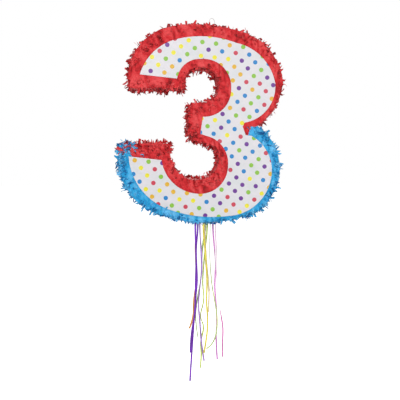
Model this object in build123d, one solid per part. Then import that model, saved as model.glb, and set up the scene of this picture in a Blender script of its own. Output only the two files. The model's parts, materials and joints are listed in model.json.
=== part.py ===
from build123d import *
import os
from math import radians, tan

# A pull-string pinata shaped like the number 3: two cardboard panels with cardboard strips between
# them, printed paper on both faces, tissue fringe on the edges, ribbons below, and a loop of string above.
# Millimetres. The number stands in the XZ plane and its front faces -Y. Outlines are drawn about the
# middle of the number, and place() then moves everything so that the origin is the top of the loop.

# Driving dimensions
half_depth = 41.0  # outer face of each panel, from the middle plane
board = 3.0  # corrugated board of the panels
strip = 2.5  # board of the side walls
skin_gap = 0.2  # air between board and tissue, and between tissue and printed paper
tissue_layer = 0.4  # the flat margin of the tissue, which the printed paper is glued over
print_thickness = 0.3
fringe = 5.0  # how far the tissue fringe stands off the walls
band = 2.5  # how far the tissue border stands off the panels
tuck = 6.0  # how far the tissue runs under the edge of the printed paper

ribbon_diameter = 4.8
ribbon_hole = 5.2
lane_pitch = 5.1  # each ribbon hangs in a plane of its own, one pitch behind the last
first_lane = -35.0

door_left, door_right = -20.0, 43.0
door_front, door_rear = -4.0, 36.0
door_gap = 1.0
door_free_gap = 1.6  # at the free end, whose upper corner swings outwards first
door_zone = (-290.0, -230.0)  # heights between which the bottom wall and its fringe lie here

flap_left, flap_right = -32.0, 32.0
flap_bottom, flap_top = 171.0, 210.0
flap_gap = 0.8
flap_depths = (30.0, 60.0)  # depths that take in the back panel and the paper on it
tape_thickness = 0.3
tape_height = 7.0
tape_overhang = 2.0
tab_half_width = 9.0
tab_on_panel, tab_on_flap = 5.0, 13.0

loop_x, loop_top = 36.0, 279.0
loop_half_width = 8.0
cord_diameter = 1.4
cord_hole_radius = 1.2
cord_hole_x = 6.7
loop_zone = (227.0, 261.0)  # heights between which the top wall and its fringe lie at the loop
patch_half = (26.0, 20.0)
patch_zone = (200.0, 260.0)
patch_thickness = 3.0
knot_radius = 3.2
knot_x, knot_z = 6.0, 228.8
release_knot_radius = 1.7
release_knot_length = 5.0
release_knot_rise = 2.5  # above the top of the release ribbon
release_x = 40.0
release_y = 8.0

# The board outline: where it starts, then (through, end) for an arc or (end,) for a straight edge
body_start = (-181, 91)
body_steps = [
    ((-164, 178), (-92, 238)),
    ((-5, 249), (109, 229)),
    ((188, 173), (213, 105)),
    ((192, 42), (135, -12)),
    ((189, -62), (204, -114)),
    ((180, -200), (112, -244)),
    ((0, -259), (-110, -235)),
    ((-179, -185), (-207, -103)),
    ((-205, -61),),
    ((-82, -62),),
    ((-82, -88),),
    ((-60, -138), (-3, -158)),
    ((39, -139), (54, -96)),
    ((45, -68), (13, -52)),
    ((-13, -45),),
    ((-28, -27),),
    ((-21, 44),),
    ((8, 46),),
    ((44, 61), (55, 92)),
    ((43, 131), (4, 147)),
    ((-31, 135), (-42, 102)),
    ((-42, 91),),
]

# The edge of the printed paper
window_start = (-157, 122)
window_steps = [
    ((-124, 178), (-63, 214)),
    ((12, 223), (97, 207)),
    ((174, 161), (201, 103)),
    ((182, 36), (119, -2)),
    ((114, -13),),
    ((122, -35),),
    ((138, -37),),
    ((180, -79), (193, -135)),
    ((158, -214), (75, -250)),
    ((-10, -249), (-90, -228)),
    ((-154, -179), (-187, -91)),
    ((-101, -101),),
    ((-76, -156), (-8, -190)),
    ((52, -170), (75, -115)),
    ((61, -66), (16, -37)),
    ((1, -32),),
    ((8, 13),),
    ((60, 32), (83, 88)),
    ((62, 143), (4, 164)),
    ((-41, 148), (-60, 112)),
]

# Stroke regions that share out walls and fringe. The long side of each inner region runs along the stroke.
regions = {
    "upper_terminal": [
        (-190, 82), (-150, 128), (-75, 128), (-60, 112), (-42, 91), (-30, 77), (-30, 60), (-190, 60),
    ],
    "upper_bay": [
        (-33, 57), (-30, 77), (-42, 91), (-60, 112), (-75, 128), (-95, 180), (-10, 195), (100, 180), (140, 100),
        (95, 5), (8, 13), (-21, 44),
    ],
    "nose": [(-50, 57), (-33, 57), (-21, 44), (8, 13), (50, -8), (1, -32), (-22, -36), (-45, -40), (-50, -40)],
    "lower_bay": [
        (-45, -40), (-22, -36), (1, -32), (50, -8), (95, 5), (130, -90), (125, -170), (0, -220), (-110, -190),
        (-101, -101), (-82, -62), (-72, -42),
    ],
    "lower_terminal": [
        (-72, -42), (-82, -62), (-101, -101), (-120, -130), (-160, -110), (-205, -61), (-225, -41), (-225, -30),
        (-72, -30),
    ],
    "upper_left": [(-230, 42), (-190, 82), (-150, 128), (-95, 180), (-10, 195), (-10, 300), (-230, 300)],
    "upper_right": [
        (-10, 195), (-10, 300), (260, 300), (260, -18), (135, -12), (128, -36), (112, -45), (95, 5), (140, 100),
        (100, 180),
    ],
    "lower_right": [
        (95, 5), (112, -45), (128, -36), (135, -12), (260, -18), (260, -300), (112, -300), (112, -180), (125, -170),
        (130, -90),
    ],
    "bottom": [(112, -180), (112, -300), (-110, -300), (-110, -190), (0, -220)],
    "lower_left": [(-110, -190), (-110, -300), (-260, -300), (-260, -30), (-225, -41), (-205, -61), (-160, -110)],
}

# Ribbons: lane, then the points of the route across and up, from the tail inside the body to the free end
ribbons = {
    "purple": (0, [(-12, -228), (-12, -288), (-10, -332), (-9, -374), (-6, -424), (-11, -468), (-12, -512),
                   (-20, -549), (-24, -586), (-25, -618)]),
    "pink": (0, [(42, -225), (42, -282), (45, -334), (45, -386), (47, -436), (52, -482), (58, -520), (64, -556),
                 (61, -596), (62, -632)]),
    "yellow": (1, [(10, -230), (10, -287), (14, -330), (18, -380), (21, -432), (18, -482), (23, -532), (20, -578),
                   (12, -622)]),
    "mauve": (2, [(1, -230), (1, -288), (5, -340), (7, -394), (2, -444), (-3, -490), (2, -542), (5, -596),
                  (13, -645)]),
    "pale_green": (2, [(30, -228), (30, -285), (27, -336), (30, -388), (34, -440), (43, -486), (50, -532),
                       (46, -576), (33, -604), (19, -612)]),
    "violet": (3, [(-3, -230), (-3, -288), (-8, -334), (-8, -384), (-10, -440), (-10, -494), (-15, -546),
                   (-18, -598), (-22, -650), (-25, -701)]),
    "peach": (3, [(15, -229), (15, -286), (17, -336), (20, -388), (27, -440), (27, -482), (25, -514)]),
    "green": (4, [(19, -229), (19, -286), (10, -328), (7, -376), (6, -424), (-3, -468), (-9, -512), (-8, -552),
                  (-2, -586)]),
    "lime": (5, [(24, -229), (24, -286), (18, -336), (13, -388), (10, -440), (16, -482), (2, -526), (16, -556),
                 (4, -596), (8, -634), (4, -670)]),
    "orange": (5, [(-8, -230), (-8, -288), (-11, -338), (-9, -390), (-8, -442), (-15, -488), (-14, -530),
                   (-26, -560)]),
}
release_route = [
    (40, -268), (41, -304), (46, -352), (48, -402), (45, -450), (50, -498), (51, -550), (49, -602), (53, -654),
]
loop_route = [(-6, -46), (-7.5, -20), (-loop_half_width, -8), (-3.5, 0.5), (3.5, 0.5), (loop_half_width, -8),
              (7.5, -20), (6, -46)]

on_front = Plane.XZ  # local x is world X, local y is world Z, and the normal points to -Y


def place(shape):
    return Pos(-loop_x, 0, -loop_top) * shape


def save(name, shape):
    export_step(place(shape), f"parts/{name}.step")


def closed_outline(start, steps):
    edges = []
    at = start
    for step in steps:
        if len(step) == 2:
            edges.append(ThreePointArc(at, step[0], step[1]))
        else:
            edges.append(Line(at, step[0]))
        at = step[-1]
    if at != start:
        edges.append(Line(at, start))
    return make_face(Curve() + edges)


def polygon(points):
    return make_face(Polyline(*points, close=True))


def between(shape, y_low, y_high):
    # the XZ plane's normal points to -Y, so a thickness is drawn from its rear face forwards
    rear = on_front.offset(-y_high) * shape
    return extrude(rear, amount=y_high - y_low)


def block(x, y, z):
    size = (x[1] - x[0], y[1] - y[0], z[1] - z[0])
    middle = ((x[0] + x[1]) / 2, (y[0] + y[1]) / 2, (z[0] + z[1]) / 2)
    return Pos(*middle) * Box(*size)


def upright_hole(x, y, z, radius):
    return Pos(x, y, (z[0] + z[1]) / 2) * Cylinder(radius, z[1] - z[0])


def lane_y(lane):
    return first_lane + lane * lane_pitch


def tube(points, y, diameter):
    """A round tube along straight runs that tangent arcs join, each as large as its two runs allow."""
    corners = [Vector(x, y, z) for x, z in points]
    radii = []
    for before, here, after in zip(corners, corners[1:], corners[2:]):
        turn = radians((here - before).get_angle(after - here))
        shorter = min((here - before).length, (after - here).length)
        radii.append(0.45 * shorter / tan(turn / 2))
    path = FilletPolyline(*corners, radius=radii)
    section = Plane(origin=path @ 0, z_dir=path % 0) * Circle(diameter / 2)
    solid = sweep(section, path=path)
    share = solid.volume / (path.length * section.area)
    print("cord length", round(path.length, 1), "volume share", round(share, 4), "radii", [round(r) for r in radii])
    return solid


os.makedirs("parts", exist_ok=True)

body = closed_outline(body_start, body_steps)
window = closed_outline(window_start, window_steps)
inside = offset(body, amount=-strip)
fringe_inner = offset(body, amount=skin_gap)
fringe_outer = offset(body, amount=fringe, kind=Kind.ARC)
under_print = offset(window, amount=-tuck)
around_print = offset(window, amount=skin_gap, kind=Kind.ARC)

door_cut = block((door_left, door_right), (door_front, door_rear), door_zone)
door_piece = block(
    (door_left + door_gap, door_right - door_free_gap),
    (door_front + door_gap, door_rear - door_gap),
    door_zone,
)
holes = []
for lane, route in ribbons.values():
    holes.append(upright_hole(route[0][0], lane_y(lane), door_zone, ribbon_hole / 2))
for side in (-1, 1):
    holes.append(upright_hole(loop_x + side * cord_hole_x, 0, loop_zone, cord_hole_radius))

# Panels, and the flap that the filling hole is cut from
flap_cut = block((flap_left, flap_right), flap_depths, (flap_bottom, flap_top))
flap_piece = block(
    (flap_left + flap_gap, flap_right - flap_gap),
    flap_depths,
    (flap_bottom + flap_gap, flap_top - flap_gap),
)
front_board = between(body, -half_depth, -half_depth + board)
back_board = between(body, half_depth - board, half_depth)
save("front_panel", front_board)
save("back_panel", back_board - flap_cut)
save("fill_flap", back_board & flap_piece)

# Printed paper on both faces
print_face = half_depth + tissue_layer + 2 * skin_gap
print_outer = print_face + print_thickness
front_sheet = between(window, -print_outer, -print_face)
back_sheet = between(window, print_face, print_outer)
save("front_print", front_sheet)
save("back_print", back_sheet - flap_cut)
save("fill_flap_print", back_sheet & flap_piece)

# Tape that hinges the filling flap, and the tab that keeps it shut
tape_y = (print_outer + skin_gap, print_outer + skin_gap + tape_thickness)
tape_x = (flap_left - tape_overhang, flap_right + tape_overhang)
tab_x = (-tab_half_width, tab_half_width)
save("fill_hinge_tape", block(tape_x, tape_y, (flap_top, flap_top + tape_height)))
save("fill_flap_tab", block(tab_x, tape_y, (flap_bottom - tab_on_panel, flap_bottom + tab_on_flap)))

# Side walls and fringe, shared out by region
wall_ring = body - inside
wrap_ring = fringe_outer - fringe_inner
border = fringe_outer - around_print
margin = fringe_outer - under_print
inner_y = half_depth - board
tissue_y = half_depth + skin_gap
margin_outer = tissue_y + tissue_layer
border_outer = half_depth + band
for name, points in regions.items():
    area = polygon(points)
    wall = between(wall_ring & area, -inner_y, inner_y)
    wrap = between(wrap_ring & area, -border_outer, border_outer)
    tissue = wrap
    for near, far, shape in ((tissue_y, margin_outer, margin), (tissue_y, border_outer, border)):
        tissue += between(shape & area, -far, -near)
        tissue += between(shape & area, near, far)
    if name == "bottom":
        save("trap_door", wall & door_piece)
        save("trap_door_fringe", wrap & door_piece)
        wall -= door_cut
        tissue -= door_cut
    if name in ("bottom", "upper_right"):
        for hole in holes:
            wall -= hole
            tissue -= hole
    save(f"{name}_wall", wall)
    save(f"{name}_fringe", tissue)

# Hanging loop: a card patch under the top wall spreads its pull, and a knot under the patch holds each end
patch_ring = offset(body, amount=-strip - skin_gap) - offset(body, amount=-strip - skin_gap - patch_thickness)
patch_cut = block((loop_x - patch_half[0], loop_x + patch_half[0]), (-patch_half[1], patch_half[1]), patch_zone)
patch = between(patch_ring & polygon(regions["upper_right"]), -inner_y, inner_y) & patch_cut
knots = []
for side in (-1, 1):
    patch -= upright_hole(loop_x + side * cord_hole_x, 0, loop_zone, cord_hole_radius)
    knots.append(Pos(loop_x + side * knot_x, 0, knot_z) * Sphere(knot_radius))
save("hanger_patch", patch)
save("loop_knots", Compound(knots))
loop_points = [(loop_x + x, loop_top + z - cord_diameter / 2) for x, z in loop_route]
save("hanging_loop", tube(loop_points, 0, cord_diameter))

# Ribbons, and the knot that ties the release ribbon to the free end of the trap door
for name, (lane, route) in ribbons.items():
    save(f"{name}_ribbon", tube(route, lane_y(lane), ribbon_diameter))
save("lilac_release_ribbon", tube(release_route, release_y, ribbon_diameter))
knot_place = Pos(release_x, release_y, release_route[0][1] + release_knot_rise)
save("release_knot", knot_place * Rot(90, 0, 0) * Cylinder(release_knot_radius, release_knot_length))
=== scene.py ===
import json
import math
import random

import bmesh
import bpy
from mathutils import Matrix, Vector, noise
from mathutils.bvhtree import BVHTree


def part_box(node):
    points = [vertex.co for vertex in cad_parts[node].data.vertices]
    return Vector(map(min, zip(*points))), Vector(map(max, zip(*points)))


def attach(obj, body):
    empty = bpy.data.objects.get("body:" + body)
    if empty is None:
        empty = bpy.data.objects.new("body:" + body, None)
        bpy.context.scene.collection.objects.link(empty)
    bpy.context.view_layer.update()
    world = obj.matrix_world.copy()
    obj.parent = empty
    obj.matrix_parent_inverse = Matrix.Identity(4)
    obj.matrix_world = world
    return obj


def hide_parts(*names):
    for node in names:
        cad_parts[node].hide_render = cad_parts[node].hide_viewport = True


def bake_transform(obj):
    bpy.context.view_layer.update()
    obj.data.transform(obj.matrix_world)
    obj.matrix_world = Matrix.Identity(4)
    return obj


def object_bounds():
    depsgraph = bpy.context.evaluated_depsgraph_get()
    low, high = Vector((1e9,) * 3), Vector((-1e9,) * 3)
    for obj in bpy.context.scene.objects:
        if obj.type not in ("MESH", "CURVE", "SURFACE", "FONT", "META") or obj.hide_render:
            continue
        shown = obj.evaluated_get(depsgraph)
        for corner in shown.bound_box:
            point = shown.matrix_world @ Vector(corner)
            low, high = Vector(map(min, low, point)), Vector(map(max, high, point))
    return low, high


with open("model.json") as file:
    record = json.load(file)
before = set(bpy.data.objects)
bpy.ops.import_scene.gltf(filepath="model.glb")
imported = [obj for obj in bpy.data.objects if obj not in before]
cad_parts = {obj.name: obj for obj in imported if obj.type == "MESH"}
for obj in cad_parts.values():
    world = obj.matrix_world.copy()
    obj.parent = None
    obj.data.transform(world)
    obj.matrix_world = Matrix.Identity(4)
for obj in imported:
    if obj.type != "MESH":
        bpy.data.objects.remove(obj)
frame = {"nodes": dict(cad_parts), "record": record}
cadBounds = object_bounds()
nodes = frame["nodes"]
printLow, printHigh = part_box("front_print")
printMiddle = (printLow + printHigh) / 2
print("frame loaded, nodes:", len(nodes))

# Places are measured from the middle of the printed front
camera = {
    "fromMiddle": (-0.160, -1.6, -0.060),
    "aimFromMiddle": (-0.007, 0, -0.1286),
    "lens": 54.8,
    "shiftY": -0.06,
}


def makeCamera():
    data = bpy.data.cameras.new("camera")
    data.lens = camera["lens"]
    data.shift_y = camera["shiftY"]
    eye = bpy.data.objects.new("camera", data)
    front = Vector((printMiddle.x, printLow.y, printMiddle.z))
    eye.location = front + Vector(camera["fromMiddle"])
    aim = front + Vector(camera["aimFromMiddle"])
    eye.rotation_euler = (aim - eye.location).to_track_quat("-Z", "Y").to_euler()
    bpy.context.scene.collection.objects.link(eye)
    bpy.context.scene.camera = eye


makeCamera()
print("camera placed")


def newMaterial(name):
    material = bpy.data.materials.new(name)
    material.use_nodes = True
    tree = material.node_tree
    return material, tree, tree.nodes["Principled BSDF"]


def addNode(tree, kind, **values):
    node = tree.nodes.new(kind)
    for key, value in values.items():
        setattr(node, key, value)
    return node


def link(tree, source, target):
    tree.links.new(source, target)


def mathNode(tree, operation, first, second=None):
    node = addNode(tree, "ShaderNodeMath", operation=operation)
    for slot, value in ((0, first), (1, second)):
        if value is None:
            continue
        if isinstance(value, (int, float)):
            node.inputs[slot].default_value = value
        else:
            link(tree, value, node.inputs[slot])
    return node.outputs[0]


def ramp(tree, factor, stops, interpolation="LINEAR"):
    node = addNode(tree, "ShaderNodeValToRGB")
    node.color_ramp.interpolation = interpolation
    elements = node.color_ramp.elements
    while len(elements) < len(stops):
        elements.new(0.5)
    for element, (place, colour) in zip(elements, stops):
        element.position = place
        element.color = (*colour, 1) if len(colour) == 3 else colour
    link(tree, factor, node.inputs["Fac"])
    return node.outputs["Color"]


def mixColour(tree, factor, first, second):
    node = addNode(tree, "ShaderNodeMix", data_type="RGBA")
    for socket, value in ((node.inputs[0], factor), (node.inputs[6], first), (node.inputs[7], second)):
        link(tree, value, socket)
    return node.outputs[2]


def linear(red, green, blue):
    # a screen colour of 0 to 255 as the linear value that a shader takes
    parts = (red, green, blue)
    return tuple(((part / 255 + 0.055) / 1.055) ** 2.4 if part > 10 else part / 255 / 12.92 for part in parts)


def makeGroup(name, inputs, outputs):
    group = bpy.data.node_groups.new(name, "ShaderNodeTree")
    for label, kind, value in inputs:
        socket = group.interface.new_socket(label, in_out="INPUT", socket_type=kind)
        socket.default_value = value
    for label, kind in outputs:
        group.interface.new_socket(label, in_out="OUTPUT", socket_type=kind)
    return group, addNode(group, "NodeGroupInput"), addNode(group, "NodeGroupOutput")


def useGroup(tree, group, **values):
    node = addNode(tree, "ShaderNodeGroup", node_tree=group)
    for label, value in values.items():
        if isinstance(value, (int, float)):
            node.inputs[label].default_value = value
        else:
            link(tree, value, node.inputs[label])
    return node


def makeCrumpleGroup():
    # creased tissue: a height for bump, and a mask that is dark along the creases, for the painted shade there
    group, source, target = makeGroup(
        "crumple",
        [("Scale", "NodeSocketFloat", 60.0), ("Depth", "NodeSocketFloat", 1.0)],
        [("Height", "NodeSocketFloat"), ("CreaseShade", "NodeSocketFloat")],
    )
    place = addNode(group, "ShaderNodeTexCoord").outputs["Object"]
    ridges = []
    for share, stretch in ((1.0, (1.0, 1.0, 0.45)), (2.3, (0.6, 1.0, 1.0))):
        mapping = addNode(group, "ShaderNodeMapping")
        mapping.inputs["Scale"].default_value = stretch
        mapping.inputs["Rotation"].default_value = (0, 0.7 * share, 0)
        link(group, place, mapping.inputs["Vector"])
        wave = addNode(group, "ShaderNodeTexNoise")
        wave.inputs["Detail"].default_value = 1.5
        wave.inputs["Distortion"].default_value = 0.35
        link(group, mapping.outputs["Vector"], wave.inputs["Vector"])
        link(group, mathNode(group, "MULTIPLY", source.outputs["Scale"], share), wave.inputs["Scale"])
        off = mathNode(group, "ABSOLUTE", mathNode(group, "SUBTRACT", wave.outputs["Fac"], 0.5))
        ridges.append(mathNode(group, "MINIMUM", mathNode(group, "MULTIPLY", off, 7.0), 1.0))
    height = mathNode(group, "ADD", ridges[0], mathNode(group, "MULTIPLY", ridges[1], 0.5))
    link(group, mathNode(group, "MULTIPLY", height, source.outputs["Depth"]), target.inputs["Height"])
    link(group, ridges[0], target.inputs["CreaseShade"])
    return group


crumpleGroup = makeCrumpleGroup()


def addBump(tree, shader, height, distance, strength=1.0):
    bump = addNode(tree, "ShaderNodeBump")
    bump.inputs["Distance"].default_value = distance
    bump.inputs["Strength"].default_value = strength
    link(tree, height, bump.inputs["Height"])
    link(tree, bump.outputs["Normal"], shader.inputs["Normal"])


# each tissue's colours run from a painted shade through the tissue's own colour to a painted highlight
tissueColours = {
    "red_tissue": {
        "deep": linear(146, 4, 10), "main": linear(220, 36, 44), "light": linear(244, 84, 86)},
    "blue_tissue": {
        "deep": linear(0, 100, 168), "main": linear(34, 172, 232), "light": linear(112, 202, 252)},
}
# creaseLevel and creaseShade set the painted shade along the creases; foldShade sets the painted shade and
# highlight that follow the folds
tissueLook = {"creaseScale": 42.0, "creaseLevel": 0.58, "creaseShade": 0.42, "foldShade": 0.55, "bump": 0.003}


def makeTissue(name):
    colours = tissueColours[name]
    material, tree, shader = newMaterial(name)
    toneAndPaintedLight = addNode(tree, "ShaderNodeAttribute", attribute_name="toneAndPaintedLight").outputs["Fac"]
    paintedFoldShading = addNode(tree, "ShaderNodeAttribute", attribute_name="paintedFoldShading").outputs["Fac"]
    crumple = useGroup(tree, crumpleGroup, Scale=tissueLook["creaseScale"], Depth=1.0)
    # painted shade: the colour is darker along the creases
    crease = mathNode(tree, "SUBTRACT", crumple.outputs["CreaseShade"], tissueLook["creaseLevel"])
    crease = mathNode(tree, "MULTIPLY", crease, tissueLook["creaseShade"])
    # painted shade and highlight: darker in the hollows of the sheet's folds and lighter on their ridges
    folded = mathNode(tree, "MULTIPLY", paintedFoldShading, tissueLook["foldShade"])
    total = mathNode(tree, "ADD", mathNode(tree, "ADD", toneAndPaintedLight, crease), folded)
    # the ramp takes the sheet's random tone, each strip's painted shade or highlight, and the painted shade of
    # creases and folds
    colour = ramp(tree, total, [(0.0, colours["deep"]), (0.45, colours["main"]), (1.0, colours["light"])])
    link(tree, colour, shader.inputs["Base Color"])
    shader.inputs["Roughness"].default_value = 0.62
    shader.inputs["Specular IOR Level"].default_value = 0.3
    shader.inputs["Sheen Weight"].default_value = 0.12
    addBump(tree, shader, crumple.outputs["Height"], tissueLook["bump"], 0.9)
    return material


dotPrint = {
    "pitch": 0.02562,
    "turn": 39.1,
    "diameter": 0.0118,
    "phase": (0.3606, 0.5782),
    "seed": 8.0,
    "paper": [(0.3, linear(219, 222, 224)), (0.5, linear(225, 224, 228)), (0.7, linear(231, 225, 230))],
    "inks": [linear(108, 44, 148), linear(16, 132, 202), linear(140, 196, 60), linear(206, 60, 82),
             linear(240, 230, 48), linear(230, 180, 44)],
}


def makeDots():
    # round dots on a square lattice turned in the plane of the face, each in one of six inks
    group, source, target = makeGroup(
        "dotPrint",
        [("Pitch", "NodeSocketFloat", 0.02), ("Turn", "NodeSocketFloat", 0.0),
         ("Diameter", "NodeSocketFloat", 0.01), ("Seed", "NodeSocketFloat", 0.0),
         ("Shift across", "NodeSocketFloat", 0.0), ("Shift up", "NodeSocketFloat", 0.0)],
        [("Colour", "NodeSocketColor"), ("Mask", "NodeSocketFloat")],
    )
    pull = source.outputs
    place = addNode(group, "ShaderNodeTexCoord").outputs["Object"]
    parts = addNode(group, "ShaderNodeSeparateXYZ")
    link(group, place, parts.inputs[0])
    cosine = mathNode(group, "COSINE", pull["Turn"])
    sine = mathNode(group, "SINE", pull["Turn"])
    across = mathNode(group, "ADD", mathNode(group, "MULTIPLY", parts.outputs["X"], cosine),
                      mathNode(group, "MULTIPLY", parts.outputs["Z"], sine))
    up = mathNode(group, "SUBTRACT", mathNode(group, "MULTIPLY", parts.outputs["Z"], cosine),
                  mathNode(group, "MULTIPLY", parts.outputs["X"], sine))
    across = mathNode(group, "DIVIDE", across, pull["Pitch"])
    across = mathNode(group, "SUBTRACT", across, pull["Shift across"])
    up = mathNode(group, "SUBTRACT", mathNode(group, "DIVIDE", up, pull["Pitch"]), pull["Shift up"])
    column = mathNode(group, "ROUND", across)
    row = mathNode(group, "ROUND", up)
    away = []
    for value, cell in ((across, column), (up, row)):
        gap = mathNode(group, "SUBTRACT", value, cell)
        away.append(mathNode(group, "MULTIPLY", gap, gap))
    distance = mathNode(group, "SQRT", mathNode(group, "ADD", *away))
    distance = mathNode(group, "MULTIPLY", distance, pull["Pitch"])
    radius = mathNode(group, "MULTIPLY", pull["Diameter"], 0.5)
    mask = mathNode(group, "LESS_THAN", distance, radius)
    cellPlace = addNode(group, "ShaderNodeCombineXYZ")
    link(group, column, cellPlace.inputs[0])
    link(group, row, cellPlace.inputs[1])
    link(group, pull["Seed"], cellPlace.inputs[2])
    pick = addNode(group, "ShaderNodeTexWhiteNoise", noise_dimensions="3D")
    link(group, cellPlace.outputs[0], pick.inputs["Vector"])
    inks = dotPrint["inks"]
    stops = [(number / len(inks), ink) for number, ink in enumerate(inks)]
    link(group, ramp(group, pick.outputs["Value"], stops, "CONSTANT"), target.inputs["Colour"])
    link(group, mask, target.inputs["Mask"])
    return group


def makePrintedPaper():
    material, tree, shader = newMaterial("printed_paper")
    dots = useGroup(tree, makeDots(), Pitch=dotPrint["pitch"], Turn=math.radians(dotPrint["turn"]),
                    Diameter=dotPrint["diameter"], Seed=dotPrint["seed"])
    dots.inputs["Shift across"].default_value = dotPrint["phase"][0]
    dots.inputs["Shift up"].default_value = dotPrint["phase"][1]
    place = addNode(tree, "ShaderNodeTexCoord").outputs["Object"]
    cloud = addNode(tree, "ShaderNodeTexNoise")
    cloud.inputs["Scale"].default_value = 26
    cloud.inputs["Detail"].default_value = 3
    link(tree, place, cloud.inputs["Vector"])
    paper = ramp(tree, cloud.outputs["Fac"], dotPrint["paper"])
    printed = mixColour(tree, dots.outputs["Mask"], paper, dots.outputs["Colour"])
    link(tree, printed, shader.inputs["Base Color"])
    grain = addNode(tree, "ShaderNodeTexNoise")
    grain.inputs["Scale"].default_value = 900
    link(tree, place, grain.inputs["Vector"])
    fine = mathNode(tree, "MULTIPLY", grain.outputs["Fac"], 0.02)
    height = mathNode(tree, "ADD", cloud.outputs["Fac"], fine)
    addBump(tree, shader, height, 0.0035, 0.5)
    shader.inputs["Roughness"].default_value = 0.38
    shader.inputs["Specular IOR Level"].default_value = 0.5
    shader.inputs["Coat Weight"].default_value = 0.25
    shader.inputs["Coat Roughness"].default_value = 0.25
    return material


def makeCardboard():
    material, tree, shader = newMaterial("cardboard")
    place = addNode(tree, "ShaderNodeTexCoord").outputs["Object"]
    fibres = addNode(tree, "ShaderNodeTexNoise")
    fibres.inputs["Scale"].default_value = 160
    fibres.inputs["Detail"].default_value = 6
    link(tree, place, fibres.inputs["Vector"])
    flutes = addNode(tree, "ShaderNodeTexWave", bands_direction="Z")
    flutes.inputs["Scale"].default_value = 24
    flutes.inputs["Distortion"].default_value = 0.6
    link(tree, place, flutes.inputs["Vector"])
    kraft = ramp(tree, fibres.outputs["Fac"],
                 [(0.3, linear(150, 118, 82)), (0.5, linear(178, 145, 105)), (0.75, linear(196, 166, 128))])
    link(tree, kraft, shader.inputs["Base Color"])
    waves = mathNode(tree, "MULTIPLY", flutes.outputs["Fac"], 0.6)
    height = mathNode(tree, "ADD", waves, fibres.outputs["Fac"])
    addBump(tree, shader, height, 0.0004, 0.5)
    shader.inputs["Roughness"].default_value = 0.88
    return material


def makeTape():
    material, tree, shader = newMaterial("tape")
    place = addNode(tree, "ShaderNodeTexCoord").outputs["Object"]
    crepe = addNode(tree, "ShaderNodeTexWave", bands_direction="X")
    crepe.inputs["Scale"].default_value = 260
    crepe.inputs["Distortion"].default_value = 6
    crepe.inputs["Detail"].default_value = 3
    link(tree, place, crepe.inputs["Vector"])
    # painted shade: the colour is darker in the troughs of the crepe, where the bump is lowest
    link(tree, ramp(tree, crepe.outputs["Fac"], [(0.0, linear(214, 196, 150)), (1.0, linear(236, 222, 182))]),
         shader.inputs["Base Color"])
    addBump(tree, shader, crepe.outputs["Fac"], 0.0002, 0.6)
    shader.inputs["Roughness"].default_value = 0.55
    return material


def makeString():
    material, tree, shader = newMaterial("string")
    place = addNode(tree, "ShaderNodeTexCoord").outputs["Object"]
    ply = addNode(tree, "ShaderNodeTexWave", bands_direction="DIAGONAL")
    ply.inputs["Scale"].default_value = 420
    link(tree, place, ply.inputs["Vector"])
    # painted shade: the colour is darker in the grooves between the plies, where the bump is lowest
    link(tree, ramp(tree, ply.outputs["Fac"], [(0.0, linear(176, 172, 166)), (1.0, linear(228, 226, 222))]),
         shader.inputs["Base Color"])
    addBump(tree, shader, ply.outputs["Fac"], 0.0002, 0.7)
    shader.inputs["Roughness"].default_value = 0.8
    return material


def makeRibbonPlastic(name, colour):
    # curling ribbon: fine grooves along its length, and a soft shine
    material, tree, shader = newMaterial(name)
    uv = addNode(tree, "ShaderNodeUVMap").outputs["UV"]
    parts = addNode(tree, "ShaderNodeSeparateXYZ")
    link(tree, uv, parts.inputs[0])
    grooves = mathNode(tree, "SINE", mathNode(tree, "MULTIPLY", parts.outputs["X"], 75.0))
    place = addNode(tree, "ShaderNodeTexCoord").outputs["Object"]
    # random darker and lighter patches of the ribbon's colour
    mottle = addNode(tree, "ShaderNodeTexNoise")
    mottle.inputs["Scale"].default_value = 45
    link(tree, place, mottle.inputs["Vector"])
    dark = tuple(0.72 * c for c in colour)
    light = tuple(min(1.0, 1.15 * c + 0.03) for c in colour)
    link(tree, ramp(tree, mottle.outputs["Fac"], [(0.3, dark), (0.5, colour), (0.72, light)]),
         shader.inputs["Base Color"])
    addBump(tree, shader, grooves, 0.00012, 0.6)
    shader.inputs["Roughness"].default_value = 0.34
    shader.inputs["Coat Weight"].default_value = 0.2
    return material


ribbonColours = {
    "purple_ribbon": linear(126, 38, 198),
    "violet_ribbon": linear(138, 52, 210),
    "pink_ribbon": linear(246, 134, 208),
    "yellow_ribbon": linear(255, 238, 84),
    "mauve_ribbon": linear(186, 146, 220),
    "pale_green_ribbon": linear(226, 250, 170),
    "peach_ribbon": linear(255, 232, 206),
    "green_ribbon": linear(200, 240, 130),
    "lime_ribbon": linear(222, 246, 96),
    "orange_ribbon": linear(255, 176, 72),
    "lilac_ribbon": linear(246, 158, 240),
}
materials = {
    "red_tissue": makeTissue("red_tissue"),
    "blue_tissue": makeTissue("blue_tissue"),
    "printed_paper": makePrintedPaper(),
    "cardboard": makeCardboard(),
    "tape": makeTape(),
    "string": makeString(),
}
for name, colour in ribbonColours.items():
    materials[name] = makeRibbonPlastic(name, colour)
slotOf = {entry["node"]: entry["material_slot"] for entry in frame["record"]["subparts"]}
for name, node in nodes.items():
    node.data.materials.clear()
    node.data.materials.append(materials[slotOf[name]])
print("materials made:", len(materials))


def newPiece(name, mesh, slot, body):
    piece = bpy.data.objects.new(name, mesh)
    bpy.context.scene.collection.objects.link(piece)
    mesh.materials.append(materials[slot])
    if body:
        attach(piece, body)
    return piece


def addThickness(piece, thickness, offset=-1):
    solid = piece.modifiers.new("thickness", "SOLIDIFY")
    solid.thickness = thickness
    solid.offset = offset


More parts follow.
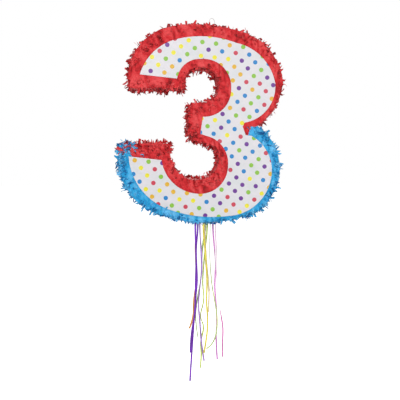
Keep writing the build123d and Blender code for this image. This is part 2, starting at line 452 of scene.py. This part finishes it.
# Each ribbon's route is across and up from the top of the hanging loop, in metres; turns give how far the
# ribbon is twisted off facing front, in degrees, at distances along it
ribbonSet = {
    "width": 0.0048,
    "thickness": 0.00022,
    "cup": 0.0005,
    "stepsAcross": 4,
    "wobble": 0.25,
    "wobbleRate": 14.0,
    "insideBody": 0.025,  # from the start of a ribbon to where it leaves the body
}
ribbons = {
    "purple_ribbon": {
        "lane": 0, "length": 0.391,
        "turns": [(0, 30), (0.05, 0), (0.2, 10), (0.3, 30), (0.39, 0)],
        "route": [
            (-0.048, -0.507), (-0.048, -0.567), (-0.046, -0.611), (-0.045, -0.653), (-0.042, -0.703),
            (-0.047, -0.747), (-0.048, -0.791), (-0.056, -0.828), (-0.060, -0.865), (-0.061, -0.897),
        ],
    },
    "pink_ribbon": {
        "lane": 0, "length": 0.408,
        "turns": [(0, 84), (0.27, 82), (0.31, 40), (0.41, 35)],
        "route": [
            (0.006, -0.504), (0.006, -0.561), (0.009, -0.613), (0.009, -0.665), (0.011, -0.715),
            (0.016, -0.761), (0.022, -0.799), (0.028, -0.835), (0.025, -0.875), (0.026, -0.911),
        ],
    },
    "yellow_ribbon": {
        "lane": 1, "length": 0.393,
        "turns": [(0, 0), (0.12, 10), (0.3, 30), (0.39, 10)],
        "route": [
            (-0.026, -0.509), (-0.026, -0.566), (-0.022, -0.609), (-0.018, -0.659), (-0.015, -0.711),
            (-0.018, -0.761), (-0.013, -0.811), (-0.016, -0.857), (-0.024, -0.901),
        ],
    },
    "mauve_ribbon": {
        "lane": 2, "length": 0.416,
        "turns": [(0, 20), (0.08, 60), (0.14, 10), (0.2, 50), (0.3, 20), (0.42, 0)],
        "route": [
            (-0.035, -0.509), (-0.035, -0.567), (-0.031, -0.619), (-0.029, -0.673), (-0.034, -0.723),
            (-0.039, -0.769), (-0.034, -0.821), (-0.031, -0.875), (-0.023, -0.924),
        ],
    },
    "pale_green_ribbon": {
        "lane": 2, "length": 0.396,
        "turns": [(0, 84), (0.14, 82), (0.2, 52), (0.3, 46), (0.4, 55)],
        "route": [
            (-0.006, -0.507), (-0.006, -0.564), (-0.009, -0.615), (-0.006, -0.667), (-0.002, -0.719),
            (0.007, -0.765), (0.014, -0.811), (0.010, -0.855), (-0.003, -0.883), (-0.017, -0.891),
        ],
    },
    "violet_ribbon": {
        "lane": 3, "length": 0.472,
        "turns": [(0, 0), (0.1, 40), (0.2, 10), (0.35, 20), (0.47, 0)],
        "route": [
            (-0.039, -0.509), (-0.039, -0.567), (-0.044, -0.613), (-0.044, -0.663), (-0.046, -0.719),
            (-0.046, -0.773), (-0.051, -0.825), (-0.054, -0.877), (-0.058, -0.929), (-0.061, -0.980),
        ],
    },
    "peach_ribbon": {
        "lane": 3, "length": 0.286,
        "turns": [(0, 60), (0.1, 40), (0.14, 5), (0.29, 15)],
        "route": [
            (-0.021, -0.508), (-0.021, -0.565), (-0.019, -0.615), (-0.016, -0.667), (-0.009, -0.719),
            (-0.009, -0.761), (-0.011, -0.793),
        ],
    },
    "green_ribbon": {
        "lane": 4, "length": 0.359,
        "turns": [(0, 30), (0.05, 40), (0.2, 56), (0.3, 46), (0.36, 55)],
        "route": [
            (-0.017, -0.508), (-0.017, -0.565), (-0.026, -0.607), (-0.029, -0.655), (-0.030, -0.703),
            (-0.039, -0.747), (-0.045, -0.791), (-0.044, -0.831), (-0.038, -0.865),
        ],
    },
    "lime_ribbon": {
        "lane": 5, "length": 0.445,
        "turns": [(0, 30), (0.1, 50), (0.2, 42), (0.3, 52), (0.38, 20), (0.45, 50)],
        "route": [
            (-0.012, -0.508), (-0.012, -0.565), (-0.018, -0.615), (-0.023, -0.667), (-0.026, -0.719),
            (-0.020, -0.761), (-0.034, -0.805), (-0.020, -0.835), (-0.032, -0.875), (-0.028, -0.913),
            (-0.032, -0.949),
        ],
    },
    "orange_ribbon": {
        "lane": 5, "length": 0.332,
        "turns": [(0, 85), (0.2, 85), (0.24, 30), (0.34, 0)],
        "route": [
            (-0.044, -0.509), (-0.044, -0.567), (-0.047, -0.617), (-0.045, -0.669), (-0.044, -0.721),
            (-0.051, -0.767), (-0.050, -0.809), (-0.062, -0.839),
        ],
    },
}
lanes = {"first": -0.0350, "pitch": 0.0051}
releaseRibbon = {
    "depth": 0.008, "length": 0.387,
    "turns": [(0, 5), (0.06, 25), (0.11, 74), (0.13, 66), (0.15, 0), (0.39, 5)],
    "route": [
        (0.004, -0.547), (0.005, -0.583), (0.010, -0.631), (0.012, -0.681), (0.009, -0.729),
        (0.014, -0.777), (0.015, -0.829), (0.013, -0.881), (0.017, -0.933),
    ],
}


def routeCurve(name, points):
    curve = bpy.data.curves.new(name, "CURVE")
    curve.dimensions = "3D"
    curve.resolution_u = 10
    spline = curve.splines.new("NURBS")
    spline.points.add(len(points) - 1)
    for point, place in zip(spline.points, points):
        point.co = (*place, 1)
    spline.order_u = 3
    spline.use_endpoint_u = True
    return bpy.data.objects.new(name, curve)


def routePoints(name, points):
    route = routeCurve(name + "_route", points)
    line = bpy.data.meshes.new_from_object(route)
    places = [vertex.co.copy() for vertex in line.vertices]
    bpy.data.objects.remove(route)
    return places


def twistAt(turns, gone):
    for (start, before), (end, after) in zip(turns, turns[1:]):
        if gone <= end:
            share = (gone - start) / (end - start)
            return before + (after - before) * share * share * (3 - 2 * share)
    return turns[-1][1]


def makeRibbon(name, facts, depth, body, slot, replaced):
    path = routePoints(name, [(x, depth, z) for x, z in facts["route"]])
    rows = len(path) - 1
    bm = bmesh.new()
    uvLayer = bm.loops.layers.uv.new("UVMap")
    bmesh.ops.create_grid(bm, x_segments=ribbonSet["stepsAcross"], y_segments=rows, size=0.5)
    travelled = [0.0]
    for before, after in zip(path, path[1:]):
        travelled.append(travelled[-1] + (after - before).length)
    for face in bm.faces:
        for loop in face.loops:
            loop[uvLayer].uv = (loop.vert.co.x + 0.5, travelled[round((loop.vert.co.y + 0.5) * rows)])
    seed = facts.get("lane", 9)
    for vertex in bm.verts:
        row = round((vertex.co.y + 0.5) * rows)
        before = path[max(row - 1, 0)]
        after = path[min(row + 1, rows)]
        along = (after - before).normalized()
        ahead = Vector((0, -1, 0))
        side = along.cross(ahead).normalized()
        gone = travelled[row]
        twist = math.radians(twistAt(facts["turns"], gone))
        twist += ribbonSet["wobble"] * noise.noise(Vector((gone * ribbonSet["wobbleRate"], seed * 3.1, 0.4)))
        spin = Matrix.Rotation(twist, 3, along)
        across = vertex.co.x
        cup = ribbonSet["cup"] * (4 * across * across - 0.5)
        vertex.co = path[row] + spin @ (side * across * ribbonSet["width"] + ahead * cup)
    bmesh.ops.recalc_face_normals(bm, faces=bm.faces)
    mesh = bpy.data.meshes.new(name)
    bm.to_mesh(mesh)
    bm.free()
    mesh.shade_smooth()
    piece = newPiece(name, mesh, slot, body)
    addThickness(piece, ribbonSet["thickness"], 0)
    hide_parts(replaced)
    return piece


for name, facts in ribbons.items():
    depth = lanes["first"] + facts["lane"] * lanes["pitch"]
    makeRibbon(name + "_band", facts, depth, name, name, name)
makeRibbon("release_ribbon_band", releaseRibbon, releaseRibbon["depth"], "release_ribbon", "lilac_ribbon",
           "lilac_release_ribbon")
print("ribbons made:", len(ribbons) + 1)

# The string of the hanging loop
loopRoute = [(-0.006, -0.0467), (-0.0075, -0.0207), (-0.008, -0.0087), (-0.0035, -0.0002), (0.0035, -0.0002),
             (0.008, -0.0087), (0.0075, -0.0207), (0.006, -0.0467)]
loopSet = {"thickness": 0.0014, "length": 0.1007, "strandTurns": 28, "strandSides": 6, "insideBody": 0.012}


def makeLoop():
    # two strands twisted round the route
    path = routePoints("hanging_loop", [(x, 0, z) for x, z in loopRoute])
    rows = len(path) - 1
    radius = loopSet["thickness"] / 4
    bm = bmesh.new()
    for strand in (0, math.pi):
        ring = bmesh.ops.create_circle(bm, segments=loopSet["strandSides"], radius=radius)["verts"]
        edges = list({edge for vertex in ring for edge in vertex.link_edges})
        last = None
        for row, place in enumerate(path):
            along = (path[min(row + 1, rows)] - path[max(row - 1, 0)]).normalized()
            ahead = Vector((0, -1, 0))
            side = along.cross(ahead).normalized()
            angle = strand + loopSet["strandTurns"] * math.tau * row / rows
            centre = place + (side * math.cos(angle) + ahead * math.sin(angle)) * radius
            turn = Matrix((side, ahead, along)).transposed().to_4x4()
            target = Matrix.Translation(centre) @ turn
            if last is None:
                bmesh.ops.transform(bm, matrix=target, verts=ring)
            else:
                grown = bmesh.ops.extrude_edge_only(bm, edges=edges)["geom"]
                ring = [part for part in grown if isinstance(part, bmesh.types.BMVert)]
                edges = [part for part in grown if isinstance(part, bmesh.types.BMEdge)
                         and all(vertex in ring for vertex in part.verts)]
                bmesh.ops.transform(bm, matrix=target @ last.inverted(), verts=ring)
            last = target
    bmesh.ops.recalc_face_normals(bm, faces=bm.faces)
    mesh = bpy.data.meshes.new("hanging_loop_string")
    bm.to_mesh(mesh)
    bm.free()
    mesh.shade_smooth()
    piece = newPiece("hanging_loop_string", mesh, "string", "pinata_body")
    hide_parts("hanging_loop")


makeLoop()
print("hanging loop made")


def treeOf(names):
    bm = bmesh.new()
    for name in names:
        bm.from_mesh(nodes[name].data)
    tree = BVHTree.FromBMesh(bm)
    bm.free()
    return tree


boardNodes = [name for name in nodes if slotOf[name] == "cardboard" and name != "hanger_patch"]
fringeNodes = [name for name in nodes if name.endswith("_fringe")]
boardTree = treeOf(boardNodes)
printTree = treeOf(["front_print", "back_print"])

tissueSet = {
    "cell": 0.0036,  # the sheet is cut to this grid before it is crumpled
    "mergeDistance": 0.0004,
    "edgeDepth": 0.0423,  # the sheet comes down to this depth at the edge of the printed paper
    "marginDepth": 0.0420,  # what lies nearer the middle than this is under the paper
    "marginInner": 0.0400,
    "marginReach": 0.012,
    "edgeWidth": 0.008,
    "looseFrom": 0.004,  # further than this from the paper, the sheet's corners are rounded
    "rounding": 4,
    "thickness": 0.0002,
    "sink": 0.0008,
    "stripWidth": (0.0040, 0.0085),
    "stripLength": (0.008, 0.0170),
    "threadWidth": (0.0009, 0.0018),
    "threadLength": (0.012, 0.021),
    "threads": 0.07,  # share of the strips that are no more than a torn thread
    "clumps": 38,
    "roll": 0.55,
    "paperGap": 0.0045,  # no strip comes nearer the paper than this
    "depthLimit": 0.0535,  # no strip stands further than this from the middle, front or rear
}
# folds: how deep the sheet is crumpled; edge, face: strips for each square metre of side and of border;
# lift: how far they stand out; bare: how far from the paper they start; puff: share of the outward swell;
# hang: how much further they hang down from a surface that faces down
fringeLooks = {
    "upper_left_fringe": {
        "folds": 0.0020, "edge": 5200, "face": 10000, "lift": 0.45, "bare": 0.015, "puff": 1, "hang": 0},
    "upper_right_fringe": {
        "folds": 0.0020, "edge": 5200, "face": 12000, "lift": 0.45, "bare": 0.012, "puff": 1, "hang": 0},
    "upper_terminal_fringe": {
        "folds": 0.0022, "edge": 6000, "face": 18000, "lift": 0.45, "bare": 0.010, "puff": 0, "hang": 0.25},
    "upper_bay_fringe": {
        "folds": 0.0022, "edge": 3400, "face": 14000, "lift": 0.3, "bare": 0.014, "puff": 0, "hang": 0.7},
    "nose_fringe": {
        "folds": 0.0024, "edge": 6000, "face": 26000, "lift": 0.45, "bare": 0.008, "puff": 0, "hang": 0.4},
    "lower_bay_fringe": {
        "folds": 0.0023, "edge": 3800, "face": 17000, "lift": 0.32, "bare": 0.012, "puff": 0, "hang": 0.7},
    "lower_terminal_fringe": {
        "folds": 0.0023, "edge": 5600, "face": 22000, "lift": 0.45, "bare": 0.010, "puff": 0, "hang": 0},
    "lower_right_fringe": {
        "folds": 0.0026, "edge": 5200, "face": 26000, "lift": 0.45, "bare": 0.004, "puff": 1, "hang": 0},
    "bottom_fringe": {
        "folds": 0.0024, "edge": 5200, "face": 20000, "lift": 0.35, "bare": 0.005, "puff": 1, "hang": 0},
    "lower_left_fringe": {
        "folds": 0.0027, "edge": 6200, "face": 26000, "lift": 0.45, "bare": 0.008, "puff": 1, "hang": 0},
    "trap_door_fringe": {
        "folds": 0.0024, "edge": 5200, "face": 20000, "lift": 0.35, "bare": 0.005, "puff": 1, "hang": 0},
}
swell = {"everywhere": 0.0012, "right": 0.0042, "below": 0.0022}
# Where the red and the blue tissue meet, strips of each lie over the other
mixed = {
    "lower_terminal_fringe": ("lower_left_fringe", 0.018),
    "lower_left_fringe": ("lower_terminal_fringe", 0.024),
}


def hiddenFaces(bm, name):
    # faces against the board, and the mitred ends where two lengths of tissue meet
    others = treeOf([other for other in fringeNodes if other != name])
    hidden = []
    for face in bm.faces:
        middle = face.calc_center_median()
        hit = boardTree.ray_cast(middle, face.normal, 0.0012)
        if hit[0] is not None:
            hidden.append(face)
            continue
        near = others.find_nearest(middle, 0.0001)
        if near[0] is not None and abs(near[1].dot(face.normal)) > 0.9:
            hidden.append(face)
    return hidden


foldPattern = {"folds": 70, "creases": 125, "crinkle": 230, "patches": 22}  # ridges in a metre, roughly


def ridge(place):
    return 1 - 2 * abs(noise.noise(place))


def foldHeight(place):
    # long soft folds that run aslant, then a crease pattern, then a fine crinkle
    slant = Vector((place.x * 0.8 + place.z * 0.6, place.y * 0.7, (place.z * 0.8 - place.x * 0.6) * 0.35))
    busy = 0.55 + 0.9 * max(0.0, 0.4 + noise.noise(place * foldPattern["patches"]))
    creases = ridge(place * foldPattern["creases"] + Vector((3, 1, 7)))
    crinkle = noise.noise(place * foldPattern["crinkle"])
    crumpled = 0.45 * creases + 0.25 * crinkle
    return 0.5 * ridge(slant * foldPattern["folds"]) + busy * crumpled - 0.3


def smoothStep(value):
    value = min(1.0, max(0.0, value))
    return value * value * (3 - 2 * value)


def paperDistance(place):
    nearest = printTree.find_nearest(place)
    return nearest[3], nearest[0]


def outwardSwell(place):
    # the fringe is fuller on the right and below
    across = place.x - printMiddle.x
    up = place.z - printMiddle.z
    right = smoothStep(across / 0.17)
    below = smoothStep((-up - 0.14) / 0.09)
    return swell["everywhere"] + swell["right"] * right + swell["below"] * below


def makeSheet(name, looks):
    bm = bmesh.new()
    bm.from_mesh(nodes[name].data)
    bmesh.ops.remove_doubles(bm, verts=bm.verts, dist=0.00001)
    bm.normal_update()
    bmesh.ops.delete(bm, geom=hiddenFaces(bm, name), context="FACES")
    low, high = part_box(name)
    cell = tissueSet["cell"]
    for axis in range(3):
        first = math.ceil(low[axis] / cell)
        last = math.floor(high[axis] / cell)
        direction = Vector([1 if number == axis else 0 for number in range(3)])
        for step in range(first, last + 1):
            bmesh.ops.bisect_plane(bm, geom=bm.verts[:] + bm.edges[:] + bm.faces[:], dist=0.00002,
                                   plane_co=direction * step * cell, plane_no=direction)
    bmesh.ops.remove_doubles(bm, verts=bm.verts, dist=tissueSet["mergeDistance"])
    paintedFoldShading = bm.verts.layers.float.new("paintedFoldShading")
    toneAndPaintedLight = bm.verts.layers.float.new("toneAndPaintedLight")
    away = {vertex: paperDistance(vertex.co)[0] for vertex in bm.verts}
    looseFrom = tissueSet["looseFrom"]
    loose = [vertex for vertex in bm.verts if away[vertex] > looseFrom and not vertex.is_boundary]
    for _ in range(tissueSet["rounding"]):
        bmesh.ops.smooth_vert(bm, verts=loose, factor=0.5, use_axis_x=True, use_axis_y=True, use_axis_z=True)
    bm.normal_update()
    for vertex in bm.verts:
        free = smoothStep((away[vertex] - 0.0004) / tissueSet["edgeWidth"])
        height = foldHeight(vertex.co)
        # the fold height is also kept for the colour, as painted shade in the hollows and painted highlight on
        # the ridges
        vertex[paintedFoldShading] = height * (0.35 + 0.65 * free)
        # a random tone across the sheet
        vertex[toneAndPaintedLight] = 0.5 + 0.25 * noise.noise(vertex.co * 24)
        depth = abs(vertex.co.y)
        inMargin = tissueSet["marginInner"] < depth < tissueSet["marginDepth"]
        if inMargin and away[vertex] < tissueSet["marginReach"]:
            continue
        rise = (looks["folds"] * height - tissueSet["sink"]) * free
        if looks["puff"]:
            sideways = smoothStep(1.4 * (1 - abs(vertex.normal.y)))
            rise += outwardSwell(vertex.co) * looks["puff"] * sideways * free
        vertex.co += vertex.normal * rise
        if free < 1 and depth > tissueSet["marginDepth"]:
            lowered = tissueSet["edgeDepth"] * (1 - free) + abs(vertex.co.y) * free
            vertex.co.y = math.copysign(lowered, vertex.co.y)
    bm.normal_update()
    return bm


stripShapeSet = {"count": 20, "seed": 3, "bend": (-1.4, 0.6), "curl": (0.6, 3.4), "twist": (-1.5, 1.5),
                 "taper": (0.2, 1.15), "crease": (-0.5, 0.5)}


def makeStripShapes():
    # short cut strips of tissue, bent, folded and twisted in different ways
    chance = random.Random(stripShapeSet["seed"])
    shapes = []
    for number in range(stripShapeSet["count"]):
        bm = bmesh.new()
        bmesh.ops.create_grid(bm, x_segments=2, y_segments=5, size=0.5)
        bend = chance.choice([chance.uniform(*stripShapeSet["bend"]), chance.uniform(*stripShapeSet["curl"])])
        twist = chance.uniform(*stripShapeSet["twist"])
        taper = chance.uniform(*stripShapeSet["taper"])
        crease = chance.uniform(*stripShapeSet["crease"])
        for vertex in bm.verts:
            along = vertex.co.y + 0.5
            side = vertex.co.x * (1 - (1 - taper) * along * along)
            angle = bend * along
            reach, rise = along, 0
            if abs(bend) > 0.05:
                reach = math.sin(angle) / bend
                rise = (1 - math.cos(angle)) / bend
            turn = twist * along
            across = side * math.cos(turn)
            lifted = side * math.sin(turn) * 0.35 + crease * abs(vertex.co.x) * 0.5
            vertex.co = (across, reach, rise + lifted)
        bm.verts.layers.float.new("paintedFoldShading")
        bm.verts.layers.float.new("toneAndPaintedLight")
        mesh = bpy.data.meshes.new(f"strip_shape_{number}")
        bm.to_mesh(mesh)
        bm.free()
        shapes.append(mesh)
    return shapes


stripShapes = makeStripShapes()


# painted light on the strips: each takes a dark, middling or light share of the range from painted shade to
# painted highlight
stripLitAndShaded = [(0.05, 0.4), (0.5, 0.8), (0.75, 1.0)]  # dark, middling and light, as shares of the colour range


def addStrips(bm, surface, looks, seed):
    chance = random.Random(seed)
    made = 0
    for middle, normal, area in surface:
        away, paperEdge = paperDistance(middle)
        bare = smoothStep((away - 0.003) / looks["bare"])
        clump = 0.5 + 1.6 * max(0.0, 0.35 + noise.noise(middle * tissueSet["clumps"]))
        onBorder = abs(normal.y) > 0.7
        wanted = area * clump * (looks["face"] * bare if onBorder else looks["edge"] * max(bare, 0.6))
        hang = looks["hang"] * max(0.0, -normal.z)
        if not onBorder:
            wanted *= 1 + hang
        count = int(wanted) + (1 if chance.random() < wanted % 1 else 0)
        for _ in range(count):
            spread = Vector((chance.gauss(0, 1), chance.gauss(0, 1), chance.gauss(0, 1)))
            flat = spread - normal * spread.dot(normal)
            outward = middle - paperEdge
            outward.y = 0
            if outward.length > 0.0001:
                flat += outward.normalized() * (1.1 if onBorder else 0.3)
            flat.normalize()
            lift = chance.uniform(0.05, 1.0) ** 2 * looks["lift"] * 2.6
            if onBorder:
                lift *= 0.55
            else:
                lift += hang * chance.uniform(0.3, 1.3)
            along = (flat * math.cos(lift) + normal * math.sin(lift)).normalized()
            width = chance.uniform(*tissueSet["stripWidth"])
            length = chance.uniform(*tissueSet["stripLength"])
            if not onBorder and chance.random() < tissueSet["threads"]:
                width = chance.uniform(*tissueSet["threadWidth"])
                length = chance.uniform(*tissueSet["threadLength"])
            nearest = min(paperDistance(middle + along * length * part)[0] for part in (0.4, 0.8))
            if nearest < tissueSet["paperGap"]:
                continue
            side = along.cross(normal).normalized()
            face = side.cross(along).normalized()
            roll = Matrix.Rotation(chance.gauss(0, tissueSet["roll"]), 3, along)
            side, face = roll @ side, roll @ face
            scale = Matrix.Diagonal((width, length, length * chance.choice((-1, 1)))).to_4x4()
            turn = Matrix((side, along, face)).transposed().to_4x4()
            target = Matrix.Translation(middle - normal * 0.0002) @ turn @ scale
            shape = stripShapes[chance.randrange(len(stripShapes))]
            shape.transform(target)
            if max(abs(vertex.co.y) for vertex in shape.vertices) > tissueSet["depthLimit"]:
                shape.transform(target.inverted())
                continue
            # painted shade or highlight: a dark, middling or light value for each strip
            shade = chance.choice([chance.uniform(*shades) for shades in stripLitAndShaded])
            shape.attributes["toneAndPaintedLight"].data.foreach_set("value", [shade] * len(shape.vertices))
            bm.from_mesh(shape, face_normals=False, vertex_normals=False)
            shape.transform(target.inverted())
            made += 1
    return made


sheets = {name: makeSheet(name, looks) for name, looks in fringeLooks.items()}
surfaces = {name: [(face.calc_center_median(), face.normal.copy(), face.calc_area()) for face in bm.faces]
            for name, bm in sheets.items()}
print("tissue sheets made:", {name: len(surface) for name, surface in surfaces.items()})

for number, (name, looks) in enumerate(fringeLooks.items()):
    bm = sheets[name]
    made = addStrips(bm, surfaces[name], looks, 100 + number)
    if name in mixed:
        other, reach = mixed[name]
        near = treeOf([name])
        shared = [part for part in surfaces[other] if near.find_nearest(part[0])[3] < reach]
        made += addStrips(bm, shared, looks, 300 + number)
    for face in bm.faces:
        face.smooth = True
    mesh = bpy.data.meshes.new(name.replace("_fringe", "_tissue"))
    bm.to_mesh(mesh)
    bm.free()
    body = "trap_door" if name == "trap_door_fringe" else "pinata_body"
    piece = newPiece(mesh.name, mesh, slotOf[name], body)
    addThickness(piece, tissueSet["thickness"])
    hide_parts(name)
    print(name, "strips", made)


# Tape over the hinge of the filling flap
hingeTape = {
    "onFlap": 0.0085,
    "bend": 0.0016,
    "thickness": 0.0002,
    "wrinkle": 0.00012,
    "ragged": 0.0004,
    "columns": 44,
    "rows": 18,
}


def makeHingeTape():
    low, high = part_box("fill_hinge_tape")
    hinge = low.z
    middle = (low.x + high.x) / 2
    bm = bmesh.new()
    bmesh.ops.create_grid(bm, x_segments=hingeTape["columns"], y_segments=hingeTape["rows"], size=0.5)
    bottom = hinge - hingeTape["onFlap"]
    for vertex in bm.verts:
        across = middle + vertex.co.x * (high.x - low.x)
        if abs(vertex.co.x) > 0.49:
            ragged = hingeTape["ragged"] * noise.noise(Vector((vertex.co.y * 9, 4, 1)))
            across += ragged * (1 if vertex.co.x > 0 else -1)
        up = bottom + (vertex.co.y + 0.5) * (high.z - bottom)
        wrinkle = hingeTape["wrinkle"] * noise.noise(Vector((across * 420, up * 120, 2)))
        vertex.co = (across, low.y + 0.0001 + wrinkle, up)
    bmesh.ops.recalc_face_normals(bm, faces=bm.faces)
    if sum(face.normal.y for face in bm.faces) < 0:
        bmesh.ops.reverse_faces(bm, faces=bm.faces)
    bmesh.ops.solidify(bm, geom=bm.faces[:], thickness=-hingeTape["thickness"])
    bmesh.ops.recalc_face_normals(bm, faces=bm.faces)
    mesh = bpy.data.meshes.new("hinge_tape")
    bm.to_mesh(mesh)
    bm.free()
    mesh.shade_smooth()
    piece = newPiece("hinge_tape", mesh, "tape", None)
    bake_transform(piece)
    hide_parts("fill_hinge_tape")


makeHingeTape()

ribbonKnot = {"size": 0.0036, "width": 0.0032, "relief": 0.45, "lean": 0.35, "steps": 64, "thickness": 0.0002}


def makeReleaseKnot():
    # the ribbon crosses itself three times, pulled flat
    low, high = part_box("release_knot")
    centre = (low + high) / 2
    bm = bmesh.new()
    uvLayer = bm.loops.layers.uv.new("UVMap")
    ring = bmesh.ops.create_circle(bm, segments=ribbonKnot["steps"], radius=1)["verts"]
    angles = {vertex: math.atan2(vertex.co.y, vertex.co.x) for vertex in ring}
    edges = list({edge for vertex in ring for edge in vertex.link_edges})
    grown = bmesh.ops.extrude_edge_only(bm, edges=edges)["geom"]
    outer = [part for part in grown if isinstance(part, bmesh.types.BMVert)]
    for vertex in outer:
        angles[vertex] = math.atan2(vertex.co.y, vertex.co.x)
    size = ribbonKnot["size"]
    for vertex, angle in angles.items():
        across = math.sin(angle) + 2 * math.sin(2 * angle)
        up = math.cos(angle) - 2 * math.cos(2 * angle)
        place = Vector((across / 3, -math.sin(3 * angle) * ribbonKnot["relief"], up / 3)) * size
        lean = Vector((ribbonKnot["lean"] * math.cos(angle), 1, ribbonKnot["lean"] * math.sin(angle)))
        lean = lean.normalized() * ribbonKnot["width"] / 2
        vertex.co = centre + place + (lean if vertex in outer else -lean)
    for face in bm.faces:
        for loop in face.loops:
            loop[uvLayer].uv = (1.0 if loop.vert in outer else 0.0, 0)
    bmesh.ops.recalc_face_normals(bm, faces=bm.faces)
    mesh = bpy.data.meshes.new("release_ribbon_knot")
    bm.to_mesh(mesh)
    bm.free()
    mesh.shade_smooth()
    piece = newPiece("release_ribbon_knot", mesh, "lilac_ribbon", "trap_door")
    addThickness(piece, ribbonKnot["thickness"], 0)
    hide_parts("release_knot")


makeReleaseKnot()
print("hinge tape and knot made")


studio = {"floorBelow": 0.35, "floorSize": 30.0, "worldLight": 0.26, "backdrop": 1.0}
lights = {
    "key": {"place": (-0.8, -2.7, 0.8), "size": 1.5, "power": 42},
    "fill": {"place": (1.2, -2.6, 0.0), "size": 1.8, "power": 19},
    "rear": {"place": (0.6, 2.6, 0.8), "size": 2.0, "power": 52},
}


def makeStudio():
    bm = bmesh.new()
    bmesh.ops.create_grid(bm, x_segments=1, y_segments=1, size=studio["floorSize"] / 2)
    bmesh.ops.translate(bm, verts=bm.verts, vec=(0, 0, cadBounds[0][2] - studio["floorBelow"]))
    mesh = bpy.data.meshes.new("floor")
    bm.to_mesh(mesh)
    bm.free()
    floor = bpy.data.objects.new("floor", mesh)
    bpy.context.scene.collection.objects.link(floor)
    material, tree, shader = newMaterial("floor")
    shader.inputs["Base Color"].default_value = (0.9, 0.9, 0.9, 1)
    shader.inputs["Roughness"].default_value = 0.9
    shader.inputs["Emission Color"].default_value = (1, 1, 1, 1)
    seen = addNode(tree, "ShaderNodeLightPath").outputs["Is Camera Ray"]
    link(tree, seen, shader.inputs["Emission Strength"])
    mesh.materials.append(material)

    world = bpy.data.worlds.new("studio")
    bpy.context.scene.world = world
    world.use_nodes = True
    tree = world.node_tree
    background = tree.nodes["Background"]
    background.inputs["Color"].default_value = (1, 1, 1, 1)
    seen = addNode(tree, "ShaderNodeLightPath").outputs["Is Camera Ray"]
    strength = mathNode(tree, "MULTIPLY_ADD", seen, studio["backdrop"] - studio["worldLight"])
    strength.node.inputs[2].default_value = studio["worldLight"]
    link(tree, strength, background.inputs["Strength"])


def makeLight(name, facts):
    data = bpy.data.lights.new(name, "AREA")
    data.energy = facts["power"]
    data.shape = "SQUARE"
    data.size = facts["size"]
    light = bpy.data.objects.new(name, data)
    light.location = facts["place"]
    light.rotation_euler = (printMiddle - Vector(facts["place"])).to_track_quat("-Z", "Y").to_euler()
    bpy.context.scene.collection.objects.link(light)


makeStudio()
for name, facts in lights.items():
    makeLight(name, facts)
bpy.context.scene.view_settings.view_transform = "Standard"
print("floor and lights placed")
